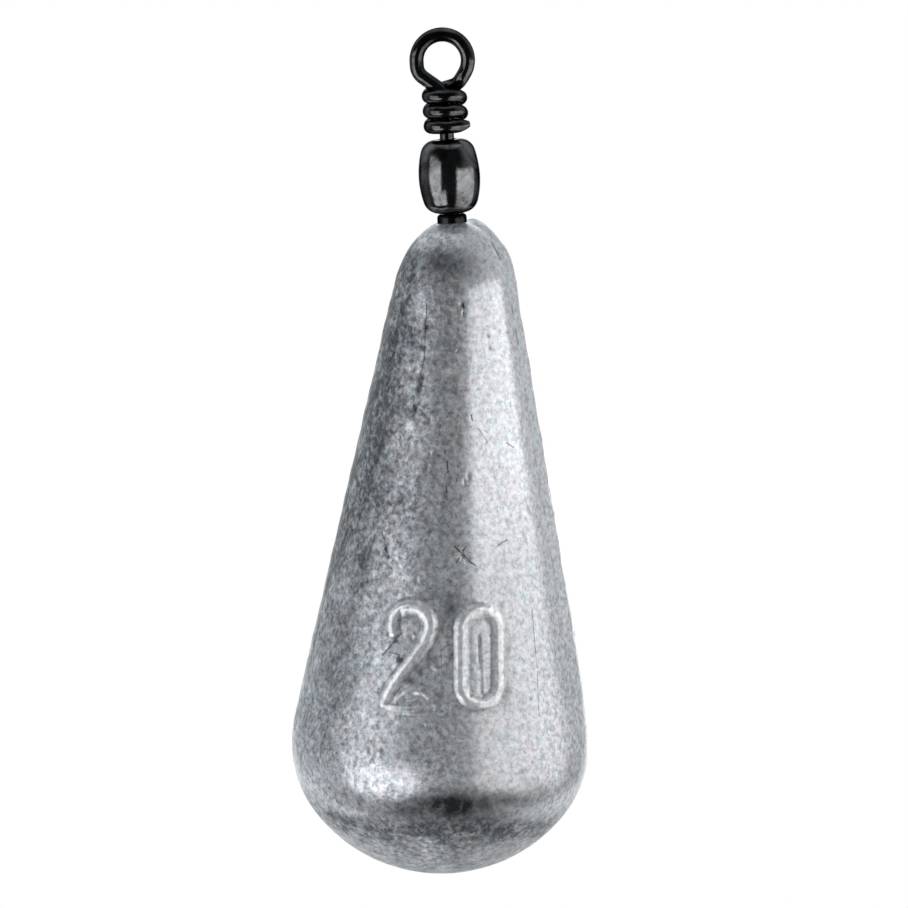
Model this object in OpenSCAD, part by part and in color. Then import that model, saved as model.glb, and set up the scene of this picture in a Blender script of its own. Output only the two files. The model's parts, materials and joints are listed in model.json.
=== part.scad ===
// Pear-shaped cast lead fishing sinker with a barrel swivel cast into its nose.
// The line eye's ring is centred on the origin and faces the front, which is -Y.
// The sinker hangs below it with its own axis upright, and the swivel leans to -X.

/* [Sinker body] */
// Height of the lead body, from its bottom to the tip of its nose
body_h = 43.3; // [38:0.1:50]
// Diameter of the body at the belly, its widest section
body_d = 19.6; // [17.5:0.1:24]
// Height of the widest section above the bottom
belly_h = 8.6; // [8:0.1:11]
// Radius of the arc that rounds the belly, seen from the side
belly_r = 7.5; // [6.5:0.1:7.9]
// Radius of the ball that the top of the cone closes round
nose_r = 3.6; // [3.2:0.1:4.6]
// Radius of the nose's tip, as a share of that ball
nose_tip_share = 0.83; // [0.7:0.01:0.95]
// Radius of the nose's shoulder, as a share of that ball
nose_shoulder_share = 2; // [1.5:0.1:3]

/* [Swivel wire] */
// Thickness of the wire of both eyes
wire_d = 0.93; // [0.7:0.01:1]
// Clear width of the line eye's ring
eye_hole_d = 2.4; // [2:0.1:4]
// Number of turns that lock the line eye round its own shank
wrap_count = 3; // [2:1:5]
// Gap from one turn to the next
wrap_gap = 0.05; // [0.04:0.01:0.1]
// Gap between the turns and the shank inside them
wrap_bore_gap = 0.09; // [0.05:0.01:0.2]
// Length of the cut end that stands off the last turn
wire_end_l = 1.3; // [0.6:0.1:2]
// Bare shank between the last turn and the barrel
shank_gap = 0.25; // [0.1:0.05:0.6]

/* [Swivel barrel] */
// Diameter of the barrel at its middle
barrel_d = 4; // [3.6:0.1:5]
// Length of the barrel along its axis
barrel_h = 4.8; // [4.4:0.1:6]
// Radius of the arc that bows the barrel's side
barrel_side_r = 6.1; // [5:0.1:12]
// Radius of the rolled ends of the barrel
barrel_end_r = 1; // [0.7:0.05:1.2]
// Thickness of the barrel's side wall
barrel_wall = 0.42; // [0.3:0.02:0.5]
// Thickness of the barrel's rolled ends, where the shanks pass
barrel_end_wall = 0.5; // [0.35:0.05:0.7]
// Height of the upset head on each shank inside the barrel
head_h = 0.85; // [0.6:0.05:1]
// Radius of the heads' rounded edges
head_edge_r = 0.3; // [0.1:0.05:0.3]

/* [Cast-in eye] */
// Diameter of the collar that shows between the barrel and the lead
collar_d = 1.93; // [1.5:0.01:2.2]
// Height of the collar, most of which the lead covers
collar_h = 1.5; // [1:0.1:3]
// Radius of the collar's rounded edges
collar_edge_r = 0.15; // [0.05:0.05:0.3]
// Length of the bare stem between the collar and the buried ring
stem_l = 1.1; // [0.5:0.1:3]
// Clear width of the buried ring, which the lead fills
anchor_hole_d = 2.4; // [1.5:0.1:2.6]

/* [Fits] */
// Radial clearance of each shank in its mouth of the barrel
mouth_clearance = 0.05; // [0.02:0.01:0.1]
// Clearance between each head and the barrel's inside
head_clearance = 0.1; // [0.05:0.05:0.3]
// End clearance of each head on its seat and of the collar under the barrel
seat_clearance = 0.06; // [0.04:0.01:0.12]

/* [Attitude] */
// Angle between the swivel and the sinker's axis, as it was cast
swivel_lean = 5.2; // [0:0.1:6]
// Distance of the swivel from the sinker's axis at the nose
swivel_offset = 0.24; // [0:0.01:0.4]
// Height of the barrel's end above the nose's tip
nose_gap = 0.24; // [0.2:0.01:0.6]

/* [Hidden] */
$fn = 96;

lead_colour = [0.62, 0.62, 0.64];
plated_colour = [0.09, 0.09, 0.1];

function direction(angle) = [cos(angle), sin(angle)];

// The body's outline: bottom arc, belly arc, cone, shoulder arc and tip arc, each tangent to the next
belly_c = [body_d / 2 - belly_r, belly_h];
bottom_r = (pow(belly_r, 2) - pow(belly_h, 2) - pow(belly_c.x, 2)) / (2 * (belly_r - belly_h));
bottom_c = [0, bottom_r];
bottom_a = atan2(belly_c.y - bottom_c.y, belly_c.x);
nose_c = [0, body_h - nose_r];
cone_a = acos((nose_r - belly_r) / norm(nose_c - belly_c)) - atan2(nose_c.y - belly_c.y, belly_c.x);
cone_n = direction(cone_a);
cone_u = direction(cone_a + 90);
cone_reach = cone_n * belly_c + belly_r;
tip_r = nose_r * nose_tip_share;
tip_c = [0, body_h - tip_r];
shoulder_r = nose_r * nose_shoulder_share;
shoulder_off = cone_reach - shoulder_r - cone_n * tip_c;
shoulder_run = cone_u * tip_c - sqrt(pow(shoulder_r - tip_r, 2) - pow(shoulder_off, 2));
shoulder_c = (cone_reach - shoulder_r) * cone_n + shoulder_run * cone_u;
shoulder_a = atan2(tip_c.y - shoulder_c.y, tip_c.x - shoulder_c.x);

// The wire: radii of its section, of the ring and of the turns, and the path's turning points
wire_r = wire_d / 2;
eye_r = (eye_hole_d + wire_d) / 2;
wrap_r = wire_d + wrap_bore_gap;
wrap_pitch = wire_d + wrap_gap;
leg_corner_share = 0.45;
leg_end_share = 1.25;
bend_share = 0.3;
leg_corner = [-eye_r, 0, -eye_r * leg_corner_share];
leg_end = [0, 0, -eye_r * leg_end_share];
leg_a = atan2(leg_corner.z - leg_end.z, eye_r);
leg_bend = eye_r * bend_share;
leg_z_over_turn = leg_corner.z - (eye_r - wrap_r) * tan(leg_a);
first_turn_z = leg_z_over_turn - (wrap_pitch + wrap_gap) / cos(leg_a);
last_turn_z = first_turn_z - (wrap_count - 1) * wrap_pitch;
ring_start_a = 180;
ring_end_a = -33;
ring_step_a = 10.65;
leg_pull_share = 0.54;
leg_pull = eye_r * leg_pull_share;
bend_steps = 5;
link_steps = 8;
turn_start_a = 90;
turn_end_a = 285 + 360 * (wrap_count - 1);
turn_step_a = 15;
drop_from_a = -50;
drop_span_a = 235;
wire_sides = 12;
// The bent wire is a shade thinner than the turned shank, so that it ends inside it
wire_facet_share = 0.99;

// Heights on the swivel's own axis, down from the centre of the ring
barrel_top_z = last_turn_z - wire_r - shank_gap;
barrel_mid_z = barrel_top_z - barrel_h / 2;
barrel_low_z = barrel_top_z - barrel_h;
shank_top_z = leg_end.z - leg_bend;
collar_top_z = barrel_low_z - seat_clearance;
stem_top_z = collar_top_z - collar_h;
anchor_r = (anchor_hole_d + wire_d) / 2;
anchor_z = stem_top_z - stem_l - anchor_r;
nose_z = barrel_low_z - nose_gap;

// The barrel's side and its inside bow about the same centre, a wall apart
side_x = barrel_d / 2 - barrel_side_r;
inner_side_r = barrel_side_r - barrel_wall;
inner_half_h = barrel_h / 2 - barrel_end_wall;
end_x = side_x + sqrt(pow(barrel_side_r - barrel_end_r, 2) - pow(barrel_h / 2 - barrel_end_r, 2));
end_z = barrel_h / 2 - barrel_end_r;
roll_a = atan2(end_z, end_x - side_x);
mouth_r = wire_r + mouth_clearance;
head_r = side_x + sqrt(pow(inner_side_r, 2) - pow(inner_half_h, 2)) - head_clearance;

// Joins in one piece reach this far into each other, and cuts run this far past it
overlap = 0.2;

// Each slice of a profile runs this angle on behind its wider neighbour, so that no slit stays
lap_a = 3;

// Where the sinker's axis stands once the swivel has taken its lean
axis_x = -nose_z * sin(swivel_lean) + swivel_offset;
nose_tip_z = nose_z * cos(swivel_lean);

function smooth_bend(from, corner, to, steps) = [
    for (i = [0 : steps])
        let (t = i / steps)
        pow(1 - t, 2) * from + 2 * t * (1 - t) * corner + pow(t, 2) * to
];

function smooth_link(from, from_pull, to_pull, to, steps) = [
    for (i = [1 : steps - 1])
        let (t = i / steps, s = 1 - t)
        pow(s, 3) * from + 3 * s * s * t * from_pull + 3 * s * t * t * to_pull + pow(t, 3) * to
];

function ring_point(angle) = eye_r * [cos(angle), 0, sin(angle)];

// Each turn lies level across the front and drops one pitch round the back
function turn_drop(angle) =
    let (turn = floor((angle - drop_from_a) / 360), part = angle - drop_from_a - 360 * turn)
    turn + min(part / drop_span_a, 1);

function turn_point(angle) = [
    wrap_r * cos(angle),
    wrap_r * sin(angle),
    first_turn_z + wrap_pitch * (1 - turn_drop(angle))
];

function unit(v) = v / norm(v);

leg_u = unit(leg_end - leg_corner);
ring_end_u = [sin(ring_end_a), 0, -cos(ring_end_a)];
turn_start_u = unit(turn_point(turn_start_a) - turn_point(turn_start_a - 1));
turn_end_u = unit([-sin(turn_end_a), cos(turn_end_a), 0]);

eye_path = concat(
    [[0, 0, shank_top_z - overlap]],
    smooth_bend([0, 0, shank_top_z], leg_end, leg_end - leg_bend * leg_u, bend_steps),
    smooth_bend(leg_corner + leg_bend * leg_u, leg_corner, leg_corner + [0, 0, leg_bend], bend_steps),
    [for (angle = [ring_start_a : -ring_step_a : ring_end_a]) ring_point(angle)],
    smooth_link(
        ring_point(ring_end_a),
        ring_point(ring_end_a) + leg_pull * ring_end_u,
        turn_point(turn_start_a) - leg_pull * turn_start_u,
        turn_point(turn_start_a),
        link_steps
    ),
    [for (angle = [turn_start_a : turn_step_a : turn_end_a]) turn_point(angle)],
    [turn_point(turn_end_a) + wire_end_l * turn_end_u]
);

// Least gap of the wire to itself, over points that lie more than half a turn apart along it
near_points = 12;
self_gap = min([
    for (i = [0 : len(eye_path) - near_points - 1], j = [i + near_points : len(eye_path) - 1])
        norm(eye_path[i] - eye_path[j])
]) - wire_d;
echo(least_gap_of_the_wire_to_itself = self_gap);

// Round tube along a path, its sections turned as little as possible from one to the next
module wire_tube(path, r) {
    last = len(path) - 1;
    tangents = [for (i = [0 : last]) unit(path[min(i + 1, last)] - path[max(i - 1, 0)])];
    sides = [
        for (i = 0, side = [0, 1, 0]; i <= last; i = i + 1,
            side = unit(side - (side * tangents[min(i, last)]) * tangents[min(i, last)]))
            side
    ];
    points = [
        for (i = [0 : last], k = [0 : wire_sides - 1])
            let (angle = 360 * k / wire_sides, across = cross(tangents[i], sides[i]))
            path[i] + r * (cos(angle) * sides[i] + sin(angle) * across)
    ];
    skin = [
        for (i = [0 : last - 1], k = [0 : wire_sides - 1])
            let (
                a = i * wire_sides + k,
                b = i * wire_sides + (k + 1) % wire_sides,
                c = a + wire_sides,
                d = b + wire_sides
            )
            each [[a, c, b], [b, c, d]]
    ];
    first_cap = [for (k = [0 : wire_sides - 1]) k];
    last_cap = [for (k = [wire_sides - 1 : -1 : 0]) last * wire_sides + k];
    polyhedron(points, concat([first_cap], skin, [last_cap]));
}

// Slice of a disc from one angle to another, less than half a turn on
module sector(centre, r, from, to) {
    far = 2 * r;
    intersection() {
        translate(centre) circle(r);
        polygon([
            centre,
            centre + far * direction(from),
            centre + far * direction((from + to) / 2),
            centre + far * direction(to)
        ]);
    }
}

// Half section of the lead body: four tangent arcs and the cone between them
module body_half() {
    intersection() {
        union() {
            sector(bottom_c, bottom_r, -90 - lap_a, bottom_a);
            sector(belly_c, belly_r, bottom_a - lap_a, cone_a + lap_a);
            sector(shoulder_c, shoulder_r, cone_a - lap_a, shoulder_a);
            sector(tip_c, tip_r, shoulder_a - lap_a, 90 + lap_a);
            polygon([
                bottom_c,
                belly_c,
                belly_c + belly_r * cone_n,
                shoulder_c + shoulder_r * cone_n,
                shoulder_c,
                tip_c
            ]);
        }
        translate([0, -body_h]) square([body_d, 3 * body_h]);
    }
}

// Half section of the barrel's outside: a bowed side between two rolled ends
module barrel_half() {
    intersection() {
        union() {
            sector([side_x, 0], barrel_side_r, -roll_a, roll_a);
            sector([end_x, end_z], barrel_end_r, roll_a - lap_a, 90 + lap_a);
            sector([end_x, -end_z], barrel_end_r, -90 - lap_a, -roll_a + lap_a);
            translate([0, -barrel_h / 2]) square([end_x, barrel_h]);
        }
        translate([0, -barrel_h]) square([barrel_d, 2 * barrel_h]);
    }
}

// Half section of the barrel's inside: the same bow between two flat ends
module hollow_half() {
    intersection() {
        translate([side_x, 0]) circle(inner_side_r);
        translate([0, -inner_half_h]) square([barrel_d, 2 * inner_half_h]);
    }
}

// Round disc with rounded edges, standing on its own base
module rounded_disc(r, h, edge_r) {
    rotate_extrude() {
        square([r - edge_r, h]);
        translate([0, edge_r]) square([r, h - 2 * edge_r]);
        translate([r - edge_r, edge_r]) circle(edge_r);
        translate([r - edge_r, h - edge_r]) circle(edge_r);
    }
}

// Round shank from one height to a higher one
module shank(from_z, to_z) {
    translate([0, 0, from_z]) cylinder(r = wire_r, h = to_z - from_z);
}

// Everything on the swivel's axis leans with it about the centre of the ring
module lean() {
    rotate([0, -swivel_lean, 0]) children();
}

module cast_in_eye() {
    color(plated_colour) lean() {
        head_low_z = barrel_low_z + barrel_end_wall + seat_clearance;
        translate([0, 0, head_low_z]) rounded_disc(head_r, head_h, head_edge_r);
        shank(collar_top_z - overlap, head_low_z + overlap);
        translate([0, 0, stem_top_z]) rounded_disc(collar_d / 2, collar_h, collar_edge_r);
        shank(anchor_z + anchor_r, stem_top_z + overlap);
        translate([0, 0, anchor_z]) rotate([90, 0, 0])
            rotate_extrude() translate([anchor_r, 0]) circle(wire_r);
    }
}

module sinker_body() {
    color(lead_colour) difference() {
        translate([axis_x, 0, nose_tip_z - body_h]) rotate_extrude() body_half();
        cast_in_eye();
    }
}

module swivel_barrel() {
    color(plated_colour) lean() translate([0, 0, barrel_mid_z]) difference() {
        rotate_extrude() barrel_half();
        rotate_extrude() hollow_half();
        translate([0, 0, -barrel_h / 2 - overlap]) cylinder(r = mouth_r, h = barrel_h + 2 * overlap);
    }
}

module line_eye() {
    color(plated_colour) lean() {
        head_top_z = barrel_top_z - barrel_end_wall - seat_clearance;
        translate([0, 0, head_top_z - head_h]) rounded_disc(head_r, head_h, head_edge_r);
        shank(head_top_z - overlap, shank_top_z);
        wire_tube(eye_path, wire_r * wire_facet_share);
    }
}

sinker_body();
cast_in_eye();
swivel_barrel();
line_eye();
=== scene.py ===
import json
import math
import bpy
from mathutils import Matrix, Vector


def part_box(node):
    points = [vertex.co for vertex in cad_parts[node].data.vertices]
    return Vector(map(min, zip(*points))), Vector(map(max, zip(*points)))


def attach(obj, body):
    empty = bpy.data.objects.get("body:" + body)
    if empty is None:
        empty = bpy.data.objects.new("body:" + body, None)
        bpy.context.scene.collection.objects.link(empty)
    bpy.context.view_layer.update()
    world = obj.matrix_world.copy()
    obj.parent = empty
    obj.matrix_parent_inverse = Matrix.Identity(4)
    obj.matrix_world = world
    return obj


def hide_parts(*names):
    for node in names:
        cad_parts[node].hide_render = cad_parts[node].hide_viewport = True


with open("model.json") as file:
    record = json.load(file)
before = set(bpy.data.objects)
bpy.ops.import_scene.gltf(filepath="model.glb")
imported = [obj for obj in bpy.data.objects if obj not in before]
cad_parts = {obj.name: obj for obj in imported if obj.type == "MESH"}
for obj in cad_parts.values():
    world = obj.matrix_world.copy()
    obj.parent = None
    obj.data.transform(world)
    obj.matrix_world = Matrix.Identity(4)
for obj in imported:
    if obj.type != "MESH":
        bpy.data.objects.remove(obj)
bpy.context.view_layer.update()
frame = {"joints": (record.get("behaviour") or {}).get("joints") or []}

from types import SimpleNamespace

import bpy
import numpy as np
from mathutils import Matrix, Vector

bl_info = {
    "name": "Fishing sinker",
    "version": (1, 0, 0),
    "blender": (4, 5, 0),
    "location": "3D View > Sidebar > Sinker",
    "description": "Cast lead sinker with a barrel swivel, and the studio it is photographed in",
    "category": "Object",
}

MM = 0.001

# How far the swivel's axis leans to the sinker's own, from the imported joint
SPIN_AXIS = Vector(frame["joints"][0]["axis"]).normalized()
LEAN = math.atan2(-SPIN_AXIS.x, SPIN_AXIS.z)

# The lead body's box gives its axis, height and radius
LEAD_LOW, LEAD_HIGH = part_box("sinker_body")
LEAD_X = (LEAD_LOW.x + LEAD_HIGH.x) / 2
LEAD_R = (LEAD_HIGH.y - LEAD_LOW.y) / 2
LEAD_H = LEAD_HIGH.z - LEAD_LOW.z

# The photograph: its pixels a side, what it covers at the object, its centre there, and the camera's film
PHOTO_PX = 908
PHOTO_WIDTH = 59.47 * MM
PHOTO_CENTRE = Vector((1.52 * MM, 0, -25.73 * MM))
SENSOR = 36.0


# ---------------------------------------------------------------- settings


class SinkerSizes(bpy.types.PropertyGroup):
    belly_radius: bpy.props.FloatProperty(
        name="Belly radius", description="Radius of the arc that rounds the belly, seen from the side",
        default=7.5 * MM, unit="LENGTH", precision=5)
    belly_height: bpy.props.FloatProperty(
        name="Belly height", description="Height of the widest section above the bottom",
        default=8.6 * MM, unit="LENGTH", precision=5)
    nose_radius: bpy.props.FloatProperty(
        name="Nose radius", description="Radius of the ball that the top of the cone closes round",
        default=3.66 * MM, unit="LENGTH", precision=5)
    numeral_relief: bpy.props.FloatProperty(
        name="Numeral relief", description="How far the cast size number stands off the belly",
        default=0.22 * MM, unit="LENGTH", precision=5)
    seam_step: bpy.props.FloatProperty(
        name="Seam step", description="How far the back mould half stands past the front one",
        default=0.5 * MM, unit="LENGTH", precision=5)
    pit_depth: bpy.props.FloatProperty(
        name="Pit depth", description="Depth of the casting pits",
        default=0.16 * MM, unit="LENGTH", precision=5)
    skin_relief: bpy.props.FloatProperty(
        name="Skin relief", description="Unevenness of the cast skin",
        default=0.03 * MM, unit="LENGTH", precision=5)
    wire: bpy.props.FloatProperty(
        name="Wire", description="Thickness of the line eye's wire",
        default=0.93 * MM, unit="LENGTH", precision=5)
    eye_hole: bpy.props.FloatProperty(
        name="Eye hole", description="Clear width of the line eye's ring",
        default=2.4 * MM, unit="LENGTH", precision=5)


class SinkerColours(bpy.types.PropertyGroup):
    lead: bpy.props.FloatVectorProperty(
        name="Lead", description="Clean cast lead",
        subtype="COLOR", size=3, min=0, max=1, default=(0.668, 0.69, 0.718))
    # Lead rubbed bright on the size number; also the colour of the painted highlights
    polished_and_highlights: bpy.props.FloatVectorProperty(
        name="Polished lead", description="Lead rubbed bright on the size number",
        subtype="COLOR", size=3, min=0, max=1, default=(0.83, 0.85, 0.87))
    # Also the colour of the painted shade under the belly, with the warm oxide
    oxide_and_shade: bpy.props.FloatVectorProperty(
        name="Oxide", description="Dull grey oxide that mottles the lead",
        subtype="COLOR", size=3, min=0, max=1, default=(0.075, 0.09, 0.112))
    oxide_warm_and_shade: bpy.props.FloatVectorProperty(
        name="Warm oxide", description="Browner patches in the oxide",
        subtype="COLOR", size=3, min=0, max=1, default=(0.098, 0.103, 0.094))
    # Also the colour of the painted shade in the crease at the number's foot and in the smudges
    grime_and_shade: bpy.props.FloatVectorProperty(
        name="Grime", description="Dark deposit in pits and crevices",
        subtype="COLOR", size=3, min=0, max=1, default=(0.035, 0.04, 0.042))
    plating: bpy.props.FloatVectorProperty(
        name="Plating", description="Gloss black plating of the swivel",
        subtype="COLOR", size=3, min=0, max=1, default=(0.004, 0.004, 0.005))


class SinkerStudio(bpy.types.PropertyGroup):
    lens: bpy.props.FloatProperty(
        name="Lens", description="Focal length of the camera in millimetres", default=200.0)
    elevation: bpy.props.FloatProperty(
        name="Camera height", description="Angle of the camera above the horizon",
        default=math.radians(8.0), subtype="ANGLE")
    roll: bpy.props.FloatProperty(
        name="Camera roll", description="How far the picture is tilted",
        default=math.radians(1.7), subtype="ANGLE")
    left_light: bpy.props.FloatProperty(
        name="Left light", description="Radiance of the left softboxes", default=1.65)
    right_light: bpy.props.FloatProperty(
        name="Right light", description="Radiance of the right softboxes", default=1.37)
    back_light: bpy.props.FloatProperty(
        name="Back light", description="Radiance of the softbox behind the object", default=0.8)
    room: bpy.props.FloatProperty(
        name="Room", description="Radiance of the dim room behind the camera", default=0.03)


# ---------------------------------------------------------------- modelling helpers

MERGE_DISTANCE = 0.0002 * MM
SMOOTH_ANGLE = math.radians(40)


def only(obj):
    """Deselects everything, then selects one object and makes it active."""
    if bpy.context.mode != "OBJECT":
        bpy.ops.object.mode_set(mode="OBJECT")
    bpy.ops.object.select_all(action="DESELECT")
    obj.select_set(True)
    bpy.context.view_layer.objects.active = obj
    return obj


def line(name, points, bevel=0.0, sides=24, cyclic=False, taper=()):
    """A poly curve made a mesh, as a tube where it has a bevel; a taper thins its last points."""
    bpy.ops.object.select_all(action="DESELECT")
    bpy.ops.curve.primitive_nurbs_path_add(location=(0, 0, 0))
    obj = bpy.context.object
    obj.name = name
    curve = obj.data
    curve.splines.clear()
    spline = curve.splines.new("POLY")
    spline.points.add(len(points) - 1)
    spline.points.foreach_set("co", np.c_[np.array(points, float), np.ones(len(points))].ravel())
    spline.use_cyclic_u = cyclic
    for share, index in zip(taper, range(len(points) - len(taper), len(points))):
        spline.points[index].radius = share
    curve.dimensions = "3D"
    curve.bevel_depth = bevel
    curve.bevel_resolution = sides // 2 - 2
    curve.use_fill_caps = bevel > 0
    only(obj)
    bpy.ops.object.convert(target="MESH")
    obj = bpy.context.object
    obj.name = obj.data.name = name
    return obj


def spin(obj, sectors, centre):
    """Spins a profile round an upright axis through the sectors, each an angle and its steps."""
    only(obj)
    bpy.ops.object.mode_set(mode="EDIT")
    bpy.ops.mesh.select_all(action="SELECT")
    for angle, steps in sectors:
        bpy.ops.mesh.spin(steps=steps, angle=angle, center=centre, axis=(0, 0, 1))
    bpy.ops.mesh.select_all(action="SELECT")
    bpy.ops.mesh.remove_doubles(threshold=MERGE_DISTANCE)
    bpy.ops.mesh.normals_make_consistent(inside=False)
    bpy.ops.object.mode_set(mode="OBJECT")
    return obj


def apply(obj, kind, **values):
    """Adds a modifier with its values and applies it."""
    only(obj)
    modifier = obj.modifiers.new(kind.lower(), kind)
    for key, value in values.items():
        setattr(modifier, key, value)
    bpy.ops.object.modifier_apply(modifier=modifier.name)


def roughen(obj, name, size, strength, depth=2):
    """Makes a surface uneven by waves of a size."""
    texture = bpy.data.textures.new(name, "CLOUDS")
    texture.noise_scale, texture.noise_depth = size, depth
    apply(obj, "DISPLACE", texture=texture, strength=strength, mid_level=0.5, texture_coords="LOCAL")


def finish_piece(obj, body, node, material):
    """Smooth shading, material, body and the CAD node that the piece stands for."""
    only(obj)
    bpy.ops.object.shade_smooth_by_angle(angle=SMOOTH_ANGLE)
    obj.data.materials.clear()
    obj.data.materials.append(material)
    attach(obj, body)
    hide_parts(node)


def arc(centre, radius, start, end, steps):
    """Points of an arc in the radius-height plane, from one angle in degrees to another."""
    return [
        (centre[0] + radius * math.cos(math.radians(a)), centre[1] + radius * math.sin(math.radians(a)))
        for a in np.linspace(start, end, steps + 1)
    ]


def smoothstep(low, high, value):
    t = np.clip((value - low) / (high - low), 0, 1)
    return t * t * (3 - 2 * t)


def bell(value, centre, half):
    """A soft bump round a centre, down to about a third at its half width."""
    return np.exp(-(((value - centre) / half) ** 2))


def within(value, rise=None, fall=None):
    """How far values lie inside a stretch that rises and falls, each from a start to an end."""
    inside = smoothstep(*rise, value) if rise else np.ones(len(value))
    return inside * (1 - smoothstep(*fall, value)) if fall else inside


def ripple(height, middle, swing, fast, slow):
    """An uneven wave along the height: two beats, each its radians a mm and its start."""
    return middle + swing * np.sin(height * fast[0] + fast[1]) * np.sin(height * slow[0] + slow[1])


# ---------------------------------------------------------------- the photograph's frame


def camera_axes(studio):
    """Right, up and forward of the camera that took the photograph."""
    c, s = math.cos(studio.elevation), math.sin(studio.elevation)
    forward, right, up = Vector((0, c, -s)), Vector((1, 0, 0)), Vector((0, s, c))
    cr, sr = math.cos(studio.roll), math.sin(studio.roll)
    return right * cr + up * sr, up * cr - right * sr, forward


def camera_place(studio):
    """Where the camera stands."""
    return PHOTO_CENTRE - camera_axes(studio)[2] * (PHOTO_WIDTH / SENSOR * studio.lens)


def lead_point(px, py, studio, surface):
    """Where the ray through a pixel of the photograph meets the lead's surface."""
    right, up, forward = camera_axes(studio)
    half = PHOTO_PX / 2
    x = (px - half) / PHOTO_PX * SENSOR
    y = (half - py) / PHOTO_PX * SENSOR
    direction = (forward * studio.lens + right * x + up * y).normalized()
    hit, place, _, _ = surface.ray_cast(camera_place(studio), direction)
    if not hit:
        raise RuntimeError(f"no lead under pixel {px}, {py}")
    return place


# ---------------------------------------------------------------- lead body: outline

TIP_SHARE, SHOULDER_SHARE = 0.83, 2
BELLY_STEPS, NOSE_STEPS = 200, 100

# Rows of the lead's mesh, closest across the numeral and then across the pits above it; heights in mm
NUMERAL_LOW, NUMERAL_HIGH = 8.5, 17.8
PITS_LOW, PITS_HIGH = 29.2, 36.2
ROW_FINE, ROW_PITS, ROW_COARSE = 0.085 * MM, 0.13 * MM, 0.2 * MM

# Sectors of the spin, from the back round through the right edge, the front and the left edge: degrees and
# steps, closest across the number and along both edges
LEAD_SECTORS = [(104, 28), (12, 24), (38, 19), (70, 140), (40, 20), (12, 24), (84, 22)]


def lead_outline(sizes):
    """The lead's outline as (radius, height above the bottom): four tangent arcs and the cone."""
    belly_r = sizes.belly_radius
    belly = (LEAD_R - belly_r, sizes.belly_height)
    bottom_r = (belly_r**2 - belly[1] ** 2 - belly[0] ** 2) / (2 * (belly_r - belly[1]))
    bottom_a = math.degrees(math.atan2(belly[1] - bottom_r, belly[0]))
    nose = (0, LEAD_H - sizes.nose_radius)
    rise = math.atan2(nose[1] - belly[1], -belly[0])
    cone_a = rise - math.acos((belly_r - sizes.nose_radius) / math.dist(nose, belly))
    cone_n = np.array([math.cos(cone_a), math.sin(cone_a)])
    cone_u = np.array([-cone_n[1], cone_n[0]])
    cone_reach = cone_n @ belly + belly_r
    tip_r, shoulder_r = TIP_SHARE * sizes.nose_radius, SHOULDER_SHARE * sizes.nose_radius
    tip = np.array([0, LEAD_H - tip_r])
    off = cone_reach - shoulder_r - cone_n @ tip
    run = cone_u @ tip - math.sqrt((shoulder_r - tip_r) ** 2 - off**2)
    shoulder = (cone_reach - shoulder_r) * cone_n + run * cone_u
    shoulder_a = math.degrees(math.atan2(tip[1] - shoulder[1], tip[0] - shoulder[0]))
    cone_deg = math.degrees(cone_a)
    points = arc((0, bottom_r), bottom_r, -90, bottom_a, BELLY_STEPS)
    points += arc(belly, belly_r, bottom_a, cone_deg, BELLY_STEPS)[1:]
    points += arc(shoulder, shoulder_r, cone_deg, shoulder_a, NOSE_STEPS)
    points += arc(tip, tip_r, shoulder_a, 90, NOSE_STEPS)[1:]
    return np.array(points)


def lead_rows(outline):
    """The outline again, with rows at the wanted spacing along it."""
    length = np.r_[0, np.cumsum(np.linalg.norm(np.diff(outline, axis=0), axis=1))]
    places = [0.0]
    while places[-1] < length[-1]:
        height = np.interp(places[-1], length, outline[:, 1]) / MM
        step = ROW_PITS if PITS_LOW < height < PITS_HIGH else ROW_COARSE
        places.append(places[-1] + (ROW_FINE if NUMERAL_LOW < height < NUMERAL_HIGH else step))
    places[-1] = length[-1]
    if places[-1] - places[-2] < ROW_COARSE / 3:
        places.pop(-2)
    return np.c_[np.interp(places, length, outline[:, 0]), np.interp(places, length, outline[:, 1])]


# ---------------------------------------------------------------- lead body: what the photograph shows on it

# The size number in pixels of the photograph: a straight-sided 0, and a 2 of a hook, a diagonal, a foot and
# the lens-shaped rim above the foot
ZERO_CENTRE, ZERO_HALF, ZERO_STRAIGHT, ZERO_STEPS = (479.8, 657.0), 18.6, 28.5, 24
HOOK_CENTRE, HOOK_R, HOOK_START, HOOK_END, HOOK_STEPS = (411.0, 625.3), 19.3, 200, -18, 30
DIAGONAL = [(424.5, 644), (411.5, 660.5), (400, 675), (390, 689), (384.0, 703)]
FOOT = [(384.0, 705), (396, 708), (414, 709), (430, 707.5)]
LENS = [(394, 703), (403, 695), (412.7, 689.5), (424, 690.7), (432.5, 699)]

# Each stroke's half width in mm and share of the relief
ZERO_STROKE, TWO_STROKE, FOOT_STROKE, LENS_STROKE = (0.52, 1.0), (0.54, 1.0), (0.42, 0.58), (0.36, 0.36)

# How round a stroke's ridge is, the half width in mm of the crease along its foot, the shares of the relief
# over which the crease gives way, and how far above and below the number its ridges are looked for, in mm
RIDGE_POWER, CREASE_HALF, CREASE_END, NUMERAL_MARGIN = 1.25, 0.12, (0.1, 0.45), 2.0

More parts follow.
